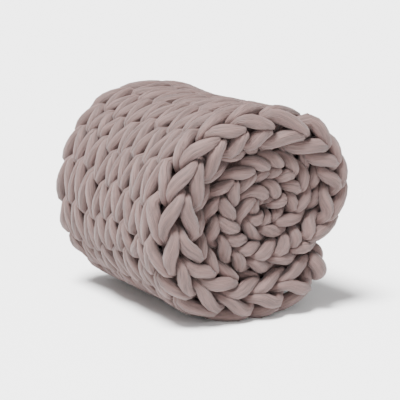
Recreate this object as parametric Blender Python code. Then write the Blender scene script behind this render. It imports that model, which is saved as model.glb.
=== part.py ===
"""A chunky hand-knit weighted blanket, folded in half and rolled up.

The whole blanket is one closed solid: the spiral roll with its free end standing off, its
rounded folded edges on both end faces, and its stitches raised in the surface's points.
Metres, +Z up. The roll's axis runs along X, and the roll stands on a small flat spot.
"""

import math

import bmesh
import bpy

# The yarn and the knit
YARN = 0.0265  # diameter of the stuffed tube yarn
WALE = 2.2 * YARN  # width of one column of V stitches
FLAT_WALES = 7  # columns along the straight part of the roll
RIM_RADIUS = 2.0 * WALE / math.pi  # one more column lies on each rounded rim
STITCH_RISE = 0.27 * YARN  # how far the stitches stand above and below the mean surface

# The roll
FREE_END_ANGLE = math.radians(315.0)  # from +Y towards +Z, so the free end is low on the +Y side
# Outer radius in yarn diameters at each eighth of a turn, from the free end inwards. The
# outer turn is loose and hangs towards -Y, and the inner ones are pressed thinner.
RADII = (
    (9.0, 9.35, 10.05, 9.95, 9.5, 8.2, 7.7, 7.1),
    (5.5, 5.1, 5.15, 4.95, 4.9, 4.6, 4.45, 4.0),
    (3.1, 2.8, 2.85, 2.8, 2.65, 2.4, 2.3, 1.7),
    (0.9, 0.5),
)
FULL_DEPTH = 4.0 * YARN  # thickness of the folded blanket where nothing presses it
SAG = 0.931  # height over width: the soft roll settles under its own weight
LEAN = 0.056  # how far the top leans over, halfway along the roll
LEAN_ALONG = 0.14  # and how much more for each metre towards the near end
GROOVE_SHARE = 0.72  # depth of the groove between turns, as a share of the rim radius
END_BULGE = 0.6 * YARN  # how far the free end's edge is rounded out
END_ROUNDING = 0.5 * YARN  # how far the outer corner of the free end is drawn in
END_ROUNDING_STEPS = 3
FLAT_SPOT_DEPTH = 0.014  # how much of the underside the floor presses flat
WAVE = 0.0025  # slow unevenness of the hand-rolled surface

# The mesh
COURSES_PER_TURN = 18  # rows of stitches round the outer turn
STEPS_PER_COURSE = 4
STEPS = COURSES_PER_TURN * STEPS_PER_COURSE  # steps round one turn
WALE_STEPS = 4
LENGTH_STEPS = FLAT_WALES * WALE_STEPS
FACE_STEPS = 8  # steps across one turn on an end face: half round the rim, half over the face

ROLL_LENGTH = FLAT_WALES * WALE + 2.0 * RIM_RADIUS
EIGHTHS = [YARN * radius for turn in RADII for radius in turn]
LAST = (len(EIGHTHS) - 1) * STEPS // 8  # the step at the free end; step 0 is at the core
SEAM = LAST - STEPS  # the step under the free end, one turn further in


def angle_of(step):
    return FREE_END_ANGLE - 2.0 * math.pi * (LAST - step) / STEPS


def outer_radius(step):
    """Radius of the outside of the turn at this step: a smooth curve through the eighths."""
    place = 8.0 * (LAST - step) / STEPS
    at = min(int(place), len(EIGHTHS) - 2)
    f = place - at
    last = len(EIGHTHS) - 1
    before, here, after, beyond = (EIGHTHS[min(max(at + n, 0), last)] for n in (-1, 0, 1, 2))
    slope_here = (after - before) / 2.0
    slope_after = (beyond - here) / 2.0
    radius = (
        here * (1.0 + 2.0 * f) * (1.0 - f) ** 2
        + after * (3.0 - 2.0 * f) * f**2
        + slope_here * f * (1.0 - f) ** 2
        - slope_after * (1.0 - f) * f**2
    )
    rounding = max(0.0, 1.0 - (LAST - step) / END_ROUNDING_STEPS) ** 2
    return radius - END_ROUNDING * rounding


def inner_radius(step):
    return outer_radius(step - STEPS) if step >= STEPS else 0.0


def course_at(step):
    """Rows of stitches counted along the blanket, which has fewer of them in its inner turns."""
    outer = max(0.0, step - SEAM)
    inner = min(step, SEAM)
    core = outer_radius(0)
    mean = (core + outer_radius(inner)) / 2.0
    return (outer + inner * mean / outer_radius(SEAM)) / STEPS_PER_COURSE


def stitch(wale, course):
    """Height of a V stitch, from -1 to 1. Its legs lean out from the foot at mid-wale."""
    across = abs(wale % 1.0 - 0.5) * 2.0  # 0 at the foot of the V, 1 between two columns
    leg = math.cos(math.pi * (2.0 * across - 1.0)) * 0.55
    lean = math.cos(2.0 * math.pi * (course - 0.7 * across)) * 0.45
    return leg + lean


def wave(x, angle):
    return WAVE * (
        math.sin(3.0 * angle + 7.0 * x) + 0.7 * math.sin(5.0 * angle - 11.0 * x + 1.3)
    )


def roll_point(x, radius, angle):
    height = SAG * radius * math.sin(angle)
    return (x, radius * math.cos(angle) + (LEAN + LEAN_ALONG * x) * height, height)


def surface_point(step, along):
    """A point of the straight outer side: along runs from 0 at the near rim to LENGTH_STEPS."""
    straight = FLAT_WALES * WALE
    x = straight / 2.0 - straight * along / LENGTH_STEPS
    rise = STITCH_RISE * stitch(along / WALE_STEPS, course_at(step))
    angle = angle_of(step)
    return roll_point(x, outer_radius(step) + rise + wave(x, angle), angle)


def face_point(step, across, side):
    """A point of an end face: across runs from 0 at the inner groove to FACE_STEPS outside."""
    half = FACE_STEPS / 2.0
    sweep = math.pi / 2.0 * min(1.0, (FACE_STEPS - across) / half)
    inward = RIM_RADIUS * (1.0 - math.cos(sweep))
    depth = RIM_RADIUS * (1.0 - math.sin(sweep))
    if across < half:
        share = 1.0 - across / half
        inward += (FULL_DEPTH - RIM_RADIUS) * share
        depth = RIM_RADIUS * GROOVE_SHARE * share**3
    elif step < SEAM:
        depth *= GROOVE_SHARE
    width = outer_radius(step) - inner_radius(step)
    fullness = min(1.0, width / FULL_DEPTH)
    rise = STITCH_RISE * fullness**2 * stitch(across * 2.0 / FACE_STEPS, course_at(step))
    angle = angle_of(step)
    radius = outer_radius(step) - width * inward / FULL_DEPTH
    x = side * (ROLL_LENGTH / 2.0 - depth + rise * math.sin(sweep))
    radius += (rise + wave(x, angle)) * math.cos(sweep)
    return roll_point(x, radius, angle)


def end_face(mesh, side):
    """The spiral end face, as rows of points that neighbouring turns share at the groove."""
    core = mesh.verts.new((side * (ROLL_LENGTH / 2.0 - RIM_RADIUS * GROOVE_SHARE), 0.0, 0.0))
    rows = [[core] + [None] * (FACE_STEPS - 1) + [mesh.verts.new(face_point(0, FACE_STEPS, side))]]
    for step in range(1, LAST + 1):
        inner = rows[step - STEPS][-1] if step >= STEPS else core
        outside = [mesh.verts.new(face_point(step, n, side)) for n in range(1, FACE_STEPS + 1)]
        rows.append([inner] + outside)
    tip, first = rows[0][-1], rows[1]
    mesh.faces.new((core, first[1], tip))
    for n in range(1, FACE_STEPS):
        mesh.faces.new((tip, first[n], first[n + 1]))
    for before, after in zip(rows[1:], rows[2:]):
        for n in range(FACE_STEPS):
            corners = [before[n], before[n + 1], after[n + 1], after[n]]
            if before[n] is after[n]:
                corners.pop()
            mesh.faces.new(corners)
    return rows


def outer_side(mesh, near, far):
    """The straight outer side, from the near rim to the far rim, over the last whole turn."""
    rows = []
    for step in range(SEAM, LAST + 1):
        middle = [mesh.verts.new(surface_point(step, n)) for n in range(1, LENGTH_STEPS)]
        rows.append([near[step][-1]] + middle + [far[step][-1]])
    for before, after in zip(rows, rows[1:]):
        for n in range(LENGTH_STEPS):
            mesh.faces.new((before[n], before[n + 1], after[n + 1], after[n]))
    return rows[0], rows[-1]


def free_end(mesh, under, over, near, far):
    """The blanket's end edge: a rounded wall from the turn below up to the outer surface."""
    ahead = FREE_END_ANGLE + math.pi / 2.0
    rows = [under]
    for across in range(1, FACE_STEPS):
        share = across / FACE_STEPS
        bulge = END_BULGE * math.sin(math.pi * share)
        push = roll_point(0.0, bulge, ahead)
        row = [near[LAST][across]]
        for n in range(1, LENGTH_STEPS):
            point = under[n].co.lerp(over[n].co, share)
            row.append(mesh.verts.new([point[i] + push[i] for i in range(3)]))
        rows.append(row + [far[LAST][across]])
    rows.append(over)
    for low, high in zip(rows, rows[1:]):
        for n in range(LENGTH_STEPS):
            mesh.faces.new((low[n], low[n + 1], high[n + 1], high[n]))


def stand_on_floor(mesh):
    """Presses the flat spot, then puts the floor at z = 0 and the roll's box over the origin."""
    floor = min(v.co.z for v in mesh.verts) + FLAT_SPOT_DEPTH
    middle_y = (min(v.co.y for v in mesh.verts) + max(v.co.y for v in mesh.verts)) / 2.0
    for vertex in mesh.verts:
        vertex.co.z = max(vertex.co.z, floor) - floor
        vertex.co.y -= middle_y


def knit_material():
    material = bpy.data.materials.new("mauve_cotton_jersey_yarn")
    material.use_nodes = True
    shader = material.node_tree.nodes["Principled BSDF"]
    shader.inputs["Base Color"].default_value = (0.41, 0.33, 0.32, 1.0)
    shader.inputs["Roughness"].default_value = 0.9
    shader.inputs["Metallic"].default_value = 0.0
    return material


def knitted_blanket_roll():
    mesh = bmesh.new()
    near = end_face(mesh, 1.0)
    far = end_face(mesh, -1.0)
    under, over = outer_side(mesh, near, far)
    free_end(mesh, under, over, near, far)
    stand_on_floor(mesh)
    bmesh.ops.recalc_face_normals(mesh, faces=mesh.faces)
    bmesh.ops.triangulate(mesh, faces=mesh.faces, quad_method="SHORT_EDGE")
    data = bpy.data.meshes.new("knitted_blanket_roll")
    mesh.to_mesh(data)
    mesh.free()
    data.materials.append(knit_material())
    roll = bpy.data.objects.new("knitted_blanket_roll", data)
    bpy.context.scene.collection.objects.link(roll)
    return roll


for old in list(bpy.data.objects):
    bpy.data.objects.remove(old, do_unlink=True)
knitted_blanket_roll()
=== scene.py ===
# %% [markdown]
# # A rolled, chunky hand-knit blanket
# The whole blanket is one yarn: a jersey tube, stuffed, as fat as a broom handle, knitted by
# hand in stockinette. Its two long edges are folded to the middle and it is rolled up. A
# sheet with raised stitches would show no gaps between their legs, so this lesson models
# yarn, not cloth: one stitch, many stitches in a row, and the rows wound along the roll's
# spiral. Where two yarns meet they press each other flat, as soft yarn does, and that gives
# the creases. The first cell loads the fixed frame.

# %% Load the frame
import functools
import math

import bmesh
import bpy
import numpy as np
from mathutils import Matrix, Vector, noise
from mathutils.kdtree import KDTree


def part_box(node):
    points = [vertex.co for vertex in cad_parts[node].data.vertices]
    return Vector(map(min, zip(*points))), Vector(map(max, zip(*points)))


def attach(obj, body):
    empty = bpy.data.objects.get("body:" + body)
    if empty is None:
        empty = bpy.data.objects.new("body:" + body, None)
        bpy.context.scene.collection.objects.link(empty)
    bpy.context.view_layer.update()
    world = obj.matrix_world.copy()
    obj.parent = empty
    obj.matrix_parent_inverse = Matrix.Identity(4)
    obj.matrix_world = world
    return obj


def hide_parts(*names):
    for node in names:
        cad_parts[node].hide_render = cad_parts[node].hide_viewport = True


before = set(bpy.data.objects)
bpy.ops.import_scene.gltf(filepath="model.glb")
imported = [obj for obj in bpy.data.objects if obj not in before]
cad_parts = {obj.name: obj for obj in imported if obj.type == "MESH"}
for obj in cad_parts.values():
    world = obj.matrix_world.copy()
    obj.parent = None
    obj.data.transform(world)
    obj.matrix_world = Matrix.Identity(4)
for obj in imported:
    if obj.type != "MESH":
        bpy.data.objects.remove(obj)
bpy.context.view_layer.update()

ROLL_NODE = "knitted_blanket_roll"
box_low, box_high = (np.array(corner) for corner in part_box(ROLL_NODE))
print(len(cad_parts), "node; roll box", box_low.round(3), box_high.round(3))

# %% [markdown]
# ## The roll's own measures
# The yarn sets every size. Seen from its end the roll is a spiral, but not a true one: the
# outer turn is loose and hangs to one side, and the inner ones are pressed thinner. Its
# radius is given at each eighth of a turn, in yarn diameters, and a smooth curve joins them.
# These are the same values as in the solid, because the knit has to lie where the solid is.
# Only the waist is the knit's own.

# %% Sizes
YARN = 0.0265  # diameter of the stuffed tube
RADII = (
    (9.0, 9.35, 10.05, 9.95, 9.5, 8.2, 7.7, 7.1),
    (5.5, 5.1, 5.15, 4.95, 4.9, 4.6, 4.45, 4.0),
    (3.1, 2.8, 2.85, 2.8, 2.65, 2.4, 2.3, 1.7),
    (0.9, 0.5),
)
EIGHTHS = np.array([YARN * radius for turn in RADII for radius in turn])
FULL_DEPTH = 4.0 * YARN  # thickness of the folded blanket where nothing presses it
LEAST_DEPTH = 1.6 * YARN  # and where it can't be pressed thinner
FREE_END_ANGLE = math.radians(315.0)  # from +Y towards +Z, so the free end is low on the +Y side
SAG = 0.931  # height over width: the soft roll settles under its own weight
LEAN = 0.056  # how far the top leans over, halfway along the roll
LEAN_ALONG = 0.14  # and how much more for each metre towards the near end
SPIRAL_CENTRE_Y = 0.0364  # the loose outer turn hangs towards -Y
SPIRAL_CENTRE_Z = 0.2260
WAIST = 0.03  # the folded edges are bulky, so the roll is that much thinner halfway along
END_GAP = 0.002  # the outermost yarns stay that far inside the ends of the solid
HALF_LENGTH = box_high[0] - END_GAP
print(f"the roll is {2.0 * HALF_LENGTH / YARN:.1f} yarns long")


# %% The spiral's outer radius, and a point of the roll
def outer_radius(turns_in):
    """Radius of the outside of the blanket, this many turns in from its free end."""
    last = len(EIGHTHS) - 1
    place = np.clip(8.0 * np.asarray(turns_in, dtype=float), 0.0, last)
    at = np.minimum(place.astype(int), last - 1)
    share = place - at
    before, here, after, beyond = (EIGHTHS[np.clip(at + n, 0, last)] for n in (-1, 0, 1, 2))
    return (
        here * (1.0 + 2.0 * share) * (1.0 - share) ** 2
        + after * (3.0 - 2.0 * share) * share**2
        + (after - before) / 2.0 * share * (1.0 - share) ** 2
        - (beyond - here) / 2.0 * (1.0 - share) * share**2
    )


def turn_depth(turns_in):
    """Thickness of the folded blanket: what the turn below leaves it."""
    return np.maximum(outer_radius(turns_in) - outer_radius(turns_in + 1.0), LEAST_DEPTH)


def roll_point(x, radius, turns_in):
    """Places points given by their distance along the axis, radius and place on the spiral."""
    angle = FREE_END_ANGLE - 2.0 * math.pi * turns_in
    height = SAG * radius * np.sin(angle)
    side = radius * np.cos(angle) + (LEAN + LEAN_ALONG * x) * height
    girth = 1.0 - WAIST * np.maximum(1.0 - (x / HALF_LENGTH) ** 2, 0.0)
    side = SPIRAL_CENTRE_Y + side * girth
    return np.stack([x, side, (height + SPIRAL_CENTRE_Z) * girth], axis=-1)


half_turns = np.arange(0.0, 3.5, 0.5)
print("outer radius at each half turn, in mm:", (1000.0 * outer_radius(half_turns)).round())

# %% [markdown]
# ## Where each row of stitches lies
# Rows run across the blanket, so along the roll's axis, and follow each other round the
# spiral. They are spaced along the blanket, not in angle, and lie closer together where the
# blanket is pressed thin. A table of turns against row number, summed in small steps.

# %% Row numbers along the spiral
LOOSE_PITCH = 2.35 * YARN  # from row to row, where the folded blanket is THICK or more
TIGHT_PITCH = 1.45 * YARN  # and where it is pressed THIN, as in the inner turns
THICK = 3.6 * YARN
THIN = 2.2 * YARN
CORE_TURN = 2.9  # where the rows stop, in turns from the free end
EDGE_ROOM = 1.1  # rows of room for the loops of the first edge
OVERHANG = 0.05  # how far the outer edge may stand past the end of the spiral, in turns
CORE_ROOM = 0.25  # and the inner edge past the last row
ROWS_UNDER_END = 2  # rows past the first whole turn that show below the free end
TABLE_SIZE = 4000

turn_table = np.linspace(-OVERHANG, CORE_TURN + CORE_ROOM, TABLE_SIZE)
looseness = np.clip((turn_depth(turn_table) - THIN) / (THICK - THIN), 0.0, 1.0)
pitch = TIGHT_PITCH + (LOOSE_PITCH - TIGHT_PITCH) * looseness
mid_radius = outer_radius(turn_table) - turn_depth(turn_table) / 2.0
turn_length = 2.0 * math.pi * mid_radius * (1.0 + SAG) / 2.0
row_density = turn_length / pitch
row_steps = (row_density[1:] + row_density[:-1]) / 2.0 * np.diff(turn_table)
row_table = np.concatenate([[0.0], np.cumsum(row_steps)])
row_table -= np.interp(0.0, turn_table, row_table) + EDGE_ROOM
ROWS = int(np.interp(CORE_TURN, turn_table, row_table))
OUTER_ROWS = math.ceil(np.interp(1.0, turn_table, row_table)) + ROWS_UNDER_END
unrolled = np.sum(turn_length[1:] * np.diff(turn_table))
print(f"{ROWS} rows, {OUTER_ROWS} of them round the outside, {unrolled:.2f} m unrolled")

# %% [markdown]
# ## The folded cloth as a surface
# Any point of the knit has three coordinates: the column across the blanket, the row along
# it, and the height out of the cloth. Across, the path is a hairpin: over the outer layer,
# round the folded edge, and back along the inner layer. The groove between the fourth and
# fifth column runs along the very edge.

# %% From column, row and height to a point in space
EDGE_COLUMN = 4.5
COLUMN = 2.05 * YARN  # width of one column of stitches on the inner layer
FOLD_COLUMNS = 0.40  # columns that go round the folded edge, for each yarn diameter of depth
LEAST_FOLD_COLUMNS = 0.2  # and these on top
MOST_FULLNESS = 1.1  # how far the stitches swell where the blanket is thicker than FULL_DEPTH
LEG_ROOM = 0.5  # room at the edge for the stitches' legs, in yarn diameters
YARN_ROOM = 0.56  # and for the outer half of the yarn itself
CORE_RECESS = 0.6 * YARN  # how far the core lies behind the outer turn's edge
RECESS_START = 0.7  # where that begins, in turns from the free end
RECESS_TURNS = 1.3  # and over how many turns it grows


def cloth_point(column, row, out):
    """Columns count from the middle of the outer layer, rows from the free end, out in metres."""
    turns_in = np.interp(row, row_table, turn_table)
    depth = turn_depth(turns_in)
    fullness = np.minimum(depth / FULL_DEPTH, MOST_FULLNESS)
    spread = (1.0 + fullness) / 2.0
    recess = CORE_RECESS * np.clip((turns_in - RECESS_START) / RECESS_TURNS, 0.0, 1.0)
    straight = HALF_LENGTH - recess - depth / 4.0 - (LEG_ROOM * spread + YARN_ROOM) * YARN
    fold_columns = FOLD_COLUMNS * depth / YARN + LEAST_FOLD_COLUMNS
    flat_columns = EDGE_COLUMN - fold_columns / 2.0
    side = np.sign(column)
    past = np.abs(column) - flat_columns
    bend = np.clip(past / fold_columns, 0.0, 1.0) * math.pi
    along = np.minimum(np.abs(column) / flat_columns, 1.0) * straight
    along -= np.maximum(past - fold_columns, 0.0) * COLUMN
    x = side * (along + (depth / 4.0 + out * spread) * np.sin(bend))
    inward = depth / 2.0 - (depth / 4.0 + out * fullness) * np.cos(bend)
    return roll_point(x, outer_radius(turns_in) - inward, turns_in)


print("the very edge at row 3:", cloth_point(EDGE_COLUMN, 3.0, 0.0).round(3))

# %% [markdown]
# ## One stitch
# A stockinette stitch is a loop: up one leg, round the head, down the other leg, and over
# to the next stitch. Three waves draw it. The legs come to the front, the head and feet go
# to the back, and the legs lean apart towards the top, so that they show as a V.

# %% The path of one stitch
POINTS_PER_STITCH = 30
LEG_LEAN = 0.34  # how far a leg swings sideways, in columns
LOOP_REACH = 0.85  # how far head and feet lie from the middle of the stitch, in rows
FRONT_TO_BACK = 0.68 * YARN  # how far a leg stands out, and head and feet lie back
FLATNESS = 3.4  # how long a leg stays at the front before it dives


def stitch_path(phase):
    """Column, row and height for each phase, where one stitch is one turn of the phase."""
    column = phase / (2.0 * math.pi) + LEG_LEAN * np.sin(2.0 * phase)
    row = -LOOP_REACH * np.cos(phase)
    out = -FRONT_TO_BACK * np.tanh(FLATNESS * np.cos(2.0 * phase)) / math.tanh(FLATNESS)
    return column, row, out


one_stitch = stitch_path(np.linspace(0.0, 2.0 * math.pi, POINTS_PER_STITCH + 1))
spans = [round(float(np.ptp(values)), 3) for values in one_stitch]
print("a stitch spans {} columns, {} rows and {} m in height".format(*spans))

# %% [markdown]
# ## The edges
# The first and last rows hang on two strands of the same yarn that twist round each other
# along the edge, half a twist for each column. At a folded edge one shows as a large loop.

# %% The path of an edge strand
EDGE_ROW = 0.86  # how far the edge lies past the first or last row, in rows
EDGE_HEIGHT = 0.62 * YARN  # how far its strands swing to the front and the back
EDGE_REACH = 0.16  # and along the blanket, in rows


def edge_path(phase, strand_sign, end_sign):
    """The two strands of an edge have opposite signs, and so have the two ends."""
    column = phase / (2.0 * math.pi)
    row = end_sign * (EDGE_ROW - strand_sign * EDGE_REACH * np.sin(phase / 2.0))
    out = strand_sign * EDGE_HEIGHT * np.cos(phase / 2.0)
    return column, row, out


print(f"the edge strands twist inside a band {2000.0 * EDGE_HEIGHT:.0f} mm high")

# %% [markdown]
# ## The hand of the knitter
# Hand knitting is uneven: some stitches are longer, and the rows don't run straight. A slow
# noise shifts columns and rows of the cloth, and another one moves the yarns in space. Both
# move neighbours together, so none of them cross. The inner layer has the shorter way round
# the roll, so at the free end it slips out past the outer one. The floor lifts what would
# sink in.

# %% Slow unevenness, and the floor
ROW_DRIFT = 0.55  # in rows
COLUMN_DRIFT = 0.30  # in columns
DRIFT_SIZE = (2.0, 2.6)  # of a drift, in columns and rows
DRIFT_PLACE = 14.9  # the place in the noise that the drifts are read from
NOISE_SHIFTS = (Vector((11.3, 0.0, 0.0)), Vector((0.0, 27.9, 0.0)), Vector((0.0, 0.0, 43.1)))
SLIP = 0.60  # of each layer at the free end, in rows
SLIP_ROWS = 2.5  # over which it fades
WANDER = 0.18 * YARN  # of the yarns in space
WANDER_SIZE = 3.4 * YARN  # from one bend of that to the next
REST_HEIGHT = 0.40 * YARN  # a pressed yarn's centre line lies this high
REST_SOFTNESS = 0.15 * YARN  # how gently the yarns come to that height


def slow_noise(places):
    """Three smooth noises at each place: one noise, read at three shifts."""
    return np.array([[noise.noise(Vector(p) + shift) for shift in NOISE_SHIFTS] for p in places])


def drifted(columns, rows):
    """Columns and rows of the same points once the knitting is uneven."""
    places = np.full(len(columns), DRIFT_PLACE)
    drifts = slow_noise(np.c_[columns / DRIFT_SIZE[0], rows / DRIFT_SIZE[1], places])
    layer = np.tanh(EDGE_COLUMN - np.abs(columns))  # near 1 outside and -1 on the inner layer
    slip = SLIP * layer * np.exp(-np.maximum(rows, 0.0) / SLIP_ROWS)
    return columns + COLUMN_DRIFT * drifts[:, 0], rows + ROW_DRIFT * drifts[:, 1] + slip


def lifted(height):
    """The height of a yarn's centre line once the floor holds it up."""
    return REST_HEIGHT + REST_SOFTNESS * np.logaddexp(0.0, (height - REST_HEIGHT) / REST_SOFTNESS)


print(f"the floor lifts a yarn from 0 to {1000.0 * lifted(0.0):.1f} mm")

# %% [markdown]
# ## Laying the rows
# The rows of the outermost turn show along their whole width. They run on round both folded
# edges until they meet in the middle of the inner layer, which shows at the free end and
# closes the holes of the outer layer. Further in only the folded edges show, at the two ends
# of the roll, so an inner row is two short strands.


# %% The strands of yarn
def strand_points(path, row, first_column, last_column):
    """The centre line of one row's yarn between two columns."""
    stitches = round(last_column - first_column)
    phase = np.linspace(0.0, 2.0 * math.pi * stitches, stitches * POINTS_PER_STITCH + 1)
    column, along, out = path(phase)
    column, along = drifted(first_column + column, row + along)
    points = cloth_point(column, along, out)
    points += WANDER * slow_noise(points / WANDER_SIZE)
    points[:, 2] = lifted(points[:, 2])
    return points


WHOLE_ROW = [(-8.5, 9.5)]  # from the first to the last column of each strand in a row
BOTH_ENDS = [(-6.5, -2.5), (2.5, 6.5)]

strands = []
for row in range(ROWS):
    spans = WHOLE_ROW if row < OUTER_ROWS else BOTH_ENDS
    for first, last in spans:
        strands.append({"row": row, "points": strand_points(stitch_path, row, first, last)})
for row, end_sign, spans in ((0, -1.0, WHOLE_ROW), (ROWS - 1, 1.0, BOTH_ENDS)):
    for strand_sign in (1.0, -1.0):
        path = functools.partial(edge_path, strand_sign=strand_sign, end_sign=end_sign)
        for first, last in spans:
            strands.append({"row": row, "points": strand_points(path, row, first, last)})
print(f"{len(strands)} strands, {sum(len(strand['points']) for strand in strands)} points")

# %% [markdown]
# ## Pressing the yarns together
# Each yarn would be a round tube, but it is soft and its neighbours push on it. Halfway
# between two centre lines is the plane where their pushes balance, so no point of a yarn
# goes past that plane. A soft-body simulation could find that too, but this rule is quick
# and steady. First every point gets a list of the neighbours in reach.

# %% Find each point's neighbours
REACH = 1.25 * YARN  # centre lines further apart than this don't press on each other
SAME_YARN = 1.7 * YARN  # nearer than this along its own length, a yarn doesn't press on itself


def lengths_along(points):
    """The length of yarn from the first point to each point."""
    steps = np.linalg.norm(np.diff(points, axis=0), axis=1)
    return np.concatenate([[0.0], np.cumsum(steps)])


centres = np.concatenate([strand["points"] for strand in strands])
owner = np.repeat(np.arange(len(strands)), [len(strand["points"]) for strand in strands])
lengths = np.concatenate([lengths_along(strand["points"]) for strand in strands])
tree = KDTree(len(centres))
for index, centre in enumerate(centres):
    tree.insert(centre, index)
tree.balance()
pairs = []
for index, centre in enumerate(centres):
    for _, other, _ in tree.find_range(centre, REACH):
        if owner[other] != owner[index] or abs(lengths[other] - lengths[index]) > SAME_YARN:
            pairs.append((index, other))
pairs = np.array(pairs)
print(f"{len(pairs)} pairs of points press on each other")

# %% [markdown]
# ## The tubes
# A curve with a round bevel makes each tube and carries the frames round its bends. Turned
# into a mesh, its points come ring by ring, so every point can be moved along its own spoke
# to where the neighbours stop it. The mesh operator that fills holes then closes both ends.

# %% One strand's tube, still round
SIDES = 16  # points round the yarn


def round_tube(name, points):
    """A round tube along the points, as a mesh whose rings follow the points in order."""
    curve = bpy.data.curves.new(name, "CURVE")
    curve.dimensions = "3D"
    curve.bevel_depth = YARN / 2.0
    curve.bevel_resolution = (SIDES - 4) // 2
    spline = curve.splines.new("POLY")
    spline.points.add(len(points) - 1)
    spline.points.foreach_set("co", np.c_[points, np.ones(len(points))].ravel())
    carrier = bpy.data.objects.new(name, curve)
    mesh = bpy.data.meshes.new_from_object(carrier)
    bpy.data.objects.remove(carrier)
    bpy.data.curves.remove(curve)
    return mesh


def ring_points(mesh):
    """A tube's points, sorted into its rings."""
    flat = np.empty(len(mesh.vertices) * 3)
    mesh.vertices.foreach_get("co", flat)
    return flat.reshape(-1, SIDES, 3)


for strand in strands:
    strand["mesh"] = round_tube("yarn", strand["points"])
rings = np.concatenate([ring_points(strand["mesh"]) for strand in strands])
spokes = rings - centres[:, None, :]
spokes /= np.linalg.norm(spokes, axis=2, keepdims=True)
print(f"{len(rings)} rings of {SIDES} points")

# %% [markdown]
# ## How far each point may go
# For every spoke the nearest balance plane of any neighbour is the limit. It lies half the
# distance away where the spoke points straight at the neighbour, and further where it
# points past it.

# %% Where the neighbours stop each spoke
LEAST_TOWARDS = 0.1  # a spoke that points less towards a neighbour isn't stopped by it

between = centres[pairs[:, 1]] - centres[pairs[:, 0]]
distance = np.linalg.norm(between, axis=1, keepdims=True)
towards = np.einsum("pd,psd->ps", between / distance, spokes[pairs[:, 0]])
stop = distance / 2.0 / np.maximum(towards, LEAST_TOWARDS)
limit = np.full(rings.shape[:2], np.inf)
np.minimum.at(limit, pairs[:, 0], np.where(towards > LEAST_TOWARDS, stop, np.inf))
print(f"{np.isfinite(limit).mean():.0%} of the spokes point at a neighbour")

# %% [markdown]
# ## How thick the yarn would like to be
# Where nothing presses it the yarn is round, and the stuffing makes it a little lumpy. It is
# slack and fuller at the folded edges, and fullest in the core, where it fills all gaps.

# %% The free radius
FREE_RADIUS = 0.47 * YARN
RIM_RADIUS = 0.57 * YARN
RIM_START = 2.6  # how far from the edge the yarn starts to be slack, in yarn diameters
RIM_FADE = 1.4  # and over what distance it becomes so
CORE_RADIUS = 0.60 * YARN
CORE_START = 2.0  # how many rows ahead of the inner ones the yarns begin to fill out
CORE_FADE = 8.0  # and how many rows it takes
LUMPS = 0.12  # unevenness of the stuffing, as a share of the radius
LUMP_SIZE = 1.6 * YARN

row_of_point = np.array([strands[index]["row"] for index in owner])
depth_in = np.clip((row_of_point - OUTER_ROWS + CORE_START) / CORE_FADE, 0.0, 1.0)
lumps = np.array([noise.noise(Vector(centre) / LUMP_SIZE) for centre in centres])
from_edge = (HALF_LENGTH - np.abs(centres[:, 0])) / YARN
at_rim = np.clip((RIM_START - from_edge) / RIM_FADE, 0.0, 1.0)
slack = FREE_RADIUS + (RIM_RADIUS - FREE_RADIUS) * at_rim
free = (slack + (CORE_RADIUS - slack) * depth_in) * (1.0 + LUMPS * lumps)
print(f"free radii from {free.min() * 1000:.1f} to {free.max() * 1000:.1f} mm")

# %% [markdown]
# ## Pressing
# The free radius and the limit are blended, not cut off, so a pressed face meets the round
# back softly. A little smoothing round and along the yarn does what its stuffing does.

# %% Press the rings
SOFTNESS = 14.0  # the higher it is, the sharper the rim of a pressed face
LEAST_RADIUS = 0.12 * YARN  # no point is pressed nearer to the centre line
SHARE_ROUND = 0.25  # what a point takes from each neighbour round the yarn
SHARE_ALONG = 0.2  # and from each neighbour along it


def smoothed(radii, before, after, share):
    """Takes a share of each radius from the neighbours on both sides."""
    return (1.0 - 2.0 * share) * radii + share * (before + after)


free = np.repeat(free[:, None], SIDES, axis=1)
pressed = (free**-SOFTNESS + limit**-SOFTNESS) ** (-1.0 / SOFTNESS)
pressed = np.maximum(pressed, LEAST_RADIUS)
before, after = np.roll(pressed, 1, axis=1), np.roll(pressed, -1, axis=1)
pressed = smoothed(pressed, before, after, SHARE_ROUND)
same_strand = (owner[1:] == owner[:-1])[:, None]
before = np.concatenate([pressed[:1], np.where(same_strand, pressed[:-1], pressed[1:])])
after = np.concatenate([np.where(same_strand, pressed[1:], pressed[:-1]), pressed[-1:]])
pressed = smoothed(pressed, before, after, SHARE_ALONG)
rings = centres[:, None, :] + spokes * pressed[:, :, None]
print(f"radii from {pressed.min() * 1000:.1f} to {pressed.max() * 1000:.1f} mm")

# %% [markdown]
# ## The floor
# The roll lies on the floor, and the yarns there are pressed flat by it.

# %% Flatten what would sink into the floor
FLOOR_GAP = 0.0002  # so that yarn and floor don't share one plane
rings[:, :, 2] = np.maximum(rings[:, :, 2], FLOOR_GAP)
print(f"lowest point {rings[:, :, 2].min() * 1000:.2f} mm")

# %% [markdown]
# ## The pieces
# The strands are joined into a few pieces, each a stretch of rows. The curve gave each tube
# a UV map that runs from 0 to 1 along it and round it. The first is scaled to metres, so
# that the jersey has the same grain on long and short strands.

# %% Close the ends and join the strands
PIECES = {
    "knit_first_rows": range(0, 7),
    "knit_middle_rows": range(7, 14),
    "knit_upper_rows": range(14, OUTER_ROWS),
    "knit_inner_rows": range(OUTER_ROWS, ROWS),
}


def scale_grain(mesh, length):
    """Makes the UV map's first value metres along the yarn."""
    grain = mesh.uv_layers[0].uv
    values = np.empty(len(grain) * 2)
    grain.foreach_get("vector", values)
    values[0::2] *= length
    grain.foreach_set("vector", values)


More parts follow.
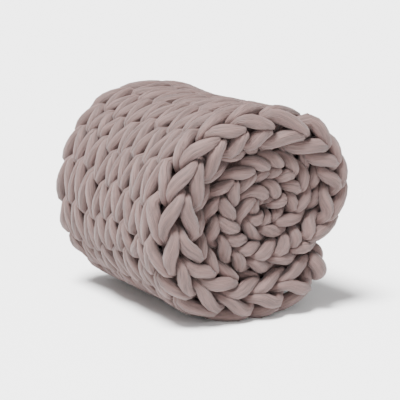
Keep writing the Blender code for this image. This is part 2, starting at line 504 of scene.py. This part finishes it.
def joined_piece(name, members):
    """One mesh object of several strands, each with its ends closed."""
    made = bmesh.new()
    for strand in members:
        strand["mesh"].vertices.foreach_set("co", strand["rings"].ravel())
        scale_grain(strand["mesh"], strand["length"])
        made.from_mesh(strand["mesh"])
        bpy.data.meshes.remove(strand["mesh"])
    open_edges = [edge for edge in made.edges if edge.is_boundary]
    bmesh.ops.holes_fill(made, edges=open_edges, sides=SIDES)
    bmesh.ops.recalc_face_normals(made, faces=made.faces)
    for face in made.faces:
        face.smooth = True
    mesh = bpy.data.meshes.new(name)
    made.to_mesh(mesh)
    made.free()
    piece = bpy.data.objects.new(name, mesh)
    bpy.context.scene.collection.objects.link(piece)
    return piece


for index, strand in enumerate(strands):
    strand["rings"] = rings[owner == index]
    strand["length"] = lengths[owner == index][-1]
knit_pieces = []
for name, rows in PIECES.items():
    piece = joined_piece(name, [strand for strand in strands if strand["row"] in rows])
    knit_pieces.append(piece)
    print(name, sum(len(face.vertices) - 2 for face in piece.data.polygons), "triangles")

# %% [markdown]
# ## The jersey
# The yarn is a tube of knitted cotton jersey. It has fine ribs along its length, slightly
# twisted, and where the tube is slack it wrinkles the same way. Matt, with a faint light
# bloom along its edges from the fibre ends. Ribs and wrinkles are too fine for the mesh, so
# the material draws them as bumps. Two helpers come first: one for colours, and one that
# adds a node.


# %% Colours and a helper for nodes
def linear(hex_colour):
    """An sRGB hex colour as the linear values that shaders use."""
    channels = [int(hex_colour[i : i + 2], 16) / 255.0 for i in (1, 3, 5)]
    return [c / 12.92 if c <= 0.04045 else ((c + 0.055) / 1.055) ** 2.4 for c in channels] + [1.0]


def add(tree, kind, inputs, **settings):
    """Adds a node and links or sets its inputs. A node as an input stands for its first output."""
    node = tree.nodes.new(kind)
    for key, value in settings.items():
        setattr(node, key, value)
    for key, value in inputs.items():
        source = value.outputs[0] if isinstance(value, bpy.types.Node) else value
        if isinstance(source, bpy.types.NodeSocket):
            tree.links.new(source, node.inputs[key])
        else:
            node.inputs[key].default_value = source
    return node


# %% [markdown]
# The UV map tells each point how many metres along the yarn it lies, and what share of the
# way round. The ribs wind slowly round the yarn, so the angle of a rib grows along it too.

# %% Cotton jersey: the way along and round the yarn
RIB_SPACING = 0.00245  # real jersey has finer ribs, but they wouldn't show
RIBS = round(math.pi * YARN / RIB_SPACING)
TWIST = 14.0  # how many ribs a straight line along a metre of the yarn crosses

material = bpy.data.materials.new("mauve_cotton_jersey")
material.use_nodes = True
jersey = material.node_tree
jersey.nodes.clear()
uv_map = add(jersey, "ShaderNodeUVMap", {}, uv_map="UVMap")
grain = add(jersey, "ShaderNodeSeparateXYZ", {"Vector": uv_map})
along, round_yarn = grain.outputs["X"], grain.outputs["Y"]
twist_rate = TWIST * 2.0 * math.pi / RIBS
twisted = add(jersey, "ShaderNodeMath", {0: along, 1: twist_rate}, operation="MULTIPLY")
turned = {0: round_yarn, 1: 2.0 * math.pi, 2: twisted}
angle = add(jersey, "ShaderNodeMath", turned, operation="MULTIPLY_ADD")
print(RIBS, "ribs round the yarn")

# %% [markdown]
# The wrinkles have to close round the yarn, so they are a noise over a circle: cosine and
# sine of the way round, and the metres along, which count less because wrinkles are long.

# %% Cotton jersey: wrinkles
WRINKLE_WIDTH = 0.00552
WRINKLE_LENGTH = 0.03846
WRINKLE_DEPTH = 0.0032

cosine = add(jersey, "ShaderNodeMath", {0: angle}, operation="COSINE")
sine = add(jersey, "ShaderNodeMath", {0: angle}, operation="SINE")
cells_across = YARN / 2.0 / WRINKLE_WIDTH  # noise cells on the circle's radius
cells_along = 1.0 / WRINKLE_LENGTH  # and for each metre of yarn
scales = {"X": (cosine, cells_across), "Y": (sine, cells_across), "Z": (along, cells_along)}
axes = {}
for axis, (value, scale) in scales.items():
    axes[axis] = add(jersey, "ShaderNodeMath", {0: value, 1: scale}, operation="MULTIPLY")
circle = add(jersey, "ShaderNodeCombineXYZ", axes)
pattern = {"Vector": circle, "Scale": 1.0, "Detail": 3.0, "Roughness": 0.6}
wrinkles = add(jersey, "ShaderNodeTexNoise", pattern)
folds = {"Height": wrinkles, "Distance": WRINKLE_DEPTH, "Strength": 1.0}
wrinkle_bump = add(jersey, "ShaderNodeBump", folds)
print(f"{cells_across:.2f} noise cells on the radius, {cells_along:.1f} for each metre")

# %% [markdown]
# The ribs are a sine of the angle, one wave for each rib, and each wrinkle pushes them aside.

# %% Cotton jersey: ribs
RIB_DEPTH = 0.0006
RIB_PUSH = 9.0  # how far a wrinkle pushes the ribs aside, in radians of their sine

straight_ribs = add(jersey, "ShaderNodeMath", {0: angle, 1: float(RIBS)}, operation="MULTIPLY")
pushed = {0: wrinkles, 1: RIB_PUSH, 2: straight_ribs}
loose_ribs = add(jersey, "ShaderNodeMath", pushed, operation="MULTIPLY_ADD")
ribs = add(jersey, "ShaderNodeMath", {0: loose_ribs}, operation="SINE")
ridges = {"Height": ribs, "Distance": RIB_DEPTH, "Strength": 0.6, "Normal": wrinkle_bump}
rib_bump = add(jersey, "ShaderNodeBump", ridges)
print(f"ribs {1000.0 * RIB_DEPTH:.1f} mm deep, wrinkles {1000.0 * WRINKLE_DEPTH:.1f} mm")

# %% [markdown]
# Dye takes unevenly, and painted shade makes the folds of the tube darker than its stretched
# crests, which are painted lighter. Cotton is matt and has an IOR near 1.5. The stuffing
# stretches the tube smooth, so it is a little less rough than flat cloth, which gives its
# crests a soft shine.

# %% Cotton jersey: colour and surface
# The darker colour is painted shade for the folds and the lighter one is painted light on the
# crests. The same ramp also gives the dye's uneven tone.
SHADED_FOLD_COLOUR = "#463532"
LIT_CREST_COLOUR = "#614a46"
DYE_AND_SHADE_STEPS = ((0.30, SHADED_FOLD_COLOUR), (0.62, LIT_CREST_COLOUR))  # levels of the wrinkles, and colours

# The wrinkles' low places get the painted fold shade, and their high places the painted crest
# light.
dye_and_fold_shade = add(jersey, "ShaderNodeValToRGB", {"Fac": wrinkles})
for step, (level, colour) in zip(dye_and_fold_shade.color_ramp.elements, DYE_AND_SHADE_STEPS):
    step.position = level
    step.color = linear(colour)
surface = {"Base Color": dye_and_fold_shade, "Metallic": 0.0, "IOR": 1.5, "Roughness": 0.7, "Normal": rib_bump}
sheen = {"Sheen Weight": 0.1, "Sheen Roughness": 0.5}
shader = add(jersey, "ShaderNodeBsdfPrincipled", {**surface, **sheen})
add(jersey, "ShaderNodeOutputMaterial", {"Surface": shader})
print(material.name, "has", len(jersey.nodes), "nodes")

# %% Dress the pieces
for piece in knit_pieces:
    piece.data.materials.append(material)
    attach(piece, "root")
    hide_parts(ROLL_NODE)
print(len(knit_pieces), "pieces stand for", ROLL_NODE)

# %% [markdown]
# ## The studio
# A white floor under a wide soft light from above and to the left, and a fill from the right.
# Far out the floor rises like a studio's paper sweep, so that no horizon shows.

# %% Floor
FLOOR_SIZE = 16.0  # half of its width
FLAT_SIZE = 8.0  # how far out it stays flat
FLOOR_RISE = 1.4  # how high it is at the middle of each side
FLOOR_SEGMENTS = 64

sheet = bmesh.new()
bmesh.ops.create_grid(
    sheet, x_segments=FLOOR_SEGMENTS, y_segments=FLOOR_SEGMENTS, size=FLOOR_SIZE
)
for vertex in sheet.verts:
    outward = max(0.0, vertex.co.length - FLAT_SIZE) / (FLOOR_SIZE - FLAT_SIZE)
    vertex.co.z = FLOOR_RISE * outward**2
for face in sheet.faces:
    face.smooth = True
floor_mesh = bpy.data.meshes.new("floor")
sheet.to_mesh(floor_mesh)
sheet.free()
floor = bpy.data.objects.new("floor", floor_mesh)
bpy.context.scene.collection.objects.link(floor)
paper = bpy.data.materials.new("white_paper")
paper.use_nodes = True
paper_shader = paper.node_tree.nodes["Principled BSDF"]
paper_shader.inputs["Base Color"].default_value = linear("#f4f4f4")
paper_shader.inputs["Roughness"].default_value = 0.9
floor.data.materials.append(paper)
print("floor", len(floor_mesh.polygons), "faces")


# %% Lights
ROLL_MIDDLE = Vector((0.0, 0.0, 0.22))


def add_light(name, kind, place, energy, **settings):
    """A light at a place, turned towards the middle of the roll."""
    data = bpy.data.lights.new(name, kind)
    data.energy = energy
    for key, value in settings.items():
        setattr(data, key, value)
    light = bpy.data.objects.new(name, data)
    light.location = place
    light.rotation_euler = (light.location - ROLL_MIDDLE).to_track_quat("Z", "Y").to_euler()
    bpy.context.scene.collection.objects.link(light)
    print(name, kind, "at", place)


add_light("key", "SUN", place=(0.3, -0.9, 2.6), energy=15.0, angle=math.radians(22.0))
add_light("fill", "AREA", place=(2.4, -0.4, 1.5), energy=20.0, shape="DISK", size=1.6)
world = bpy.data.worlds.new("studio")
bpy.context.scene.world = world
world.use_nodes = True
background = world.node_tree.nodes["Background"]
background.inputs["Color"].default_value = linear("#ffffff")
background.inputs["Strength"].default_value = 0.5

# %% [markdown]
# ## The camera
# It looks at the near end of the roll and at its side, from a little above. A long lens from
# far away keeps both ends of the roll nearly the same size.

# %% Camera
AZIMUTH = math.radians(60.1)
ELEVATION = math.radians(11.5)
DISTANCE = 3.5
LENS = 151.5  # in mm, as is the next value
SENSOR_WIDTH = 36.0
AIM = Vector((0.0, -0.009, 0.219))
OFF_AXIS = (0.0182, -0.0134)  # how far right and up of that point the picture's middle is

camera_data = bpy.data.cameras.new("camera")
camera_data.lens = LENS
camera_data.sensor_width = SENSOR_WIDTH
camera = bpy.data.objects.new("camera", camera_data)
away = Vector(
    (
        math.sin(AZIMUTH) * math.cos(ELEVATION),
        -math.cos(AZIMUTH) * math.cos(ELEVATION),
        math.sin(ELEVATION),
    )
)
right = Vector((math.cos(AZIMUTH), math.sin(AZIMUTH), 0.0))
up = away.cross(right)
camera.location = AIM + away * DISTANCE
looked_at = AIM + right * OFF_AXIS[0] + up * OFF_AXIS[1]
camera.rotation_euler = (camera.location - looked_at).to_track_quat("Z", "Y").to_euler()
bpy.context.scene.collection.objects.link(camera)
bpy.context.scene.camera = camera
print("camera at", [round(value, 2) for value in camera.location])

# %% Update the scene
bpy.context.view_layer.update()
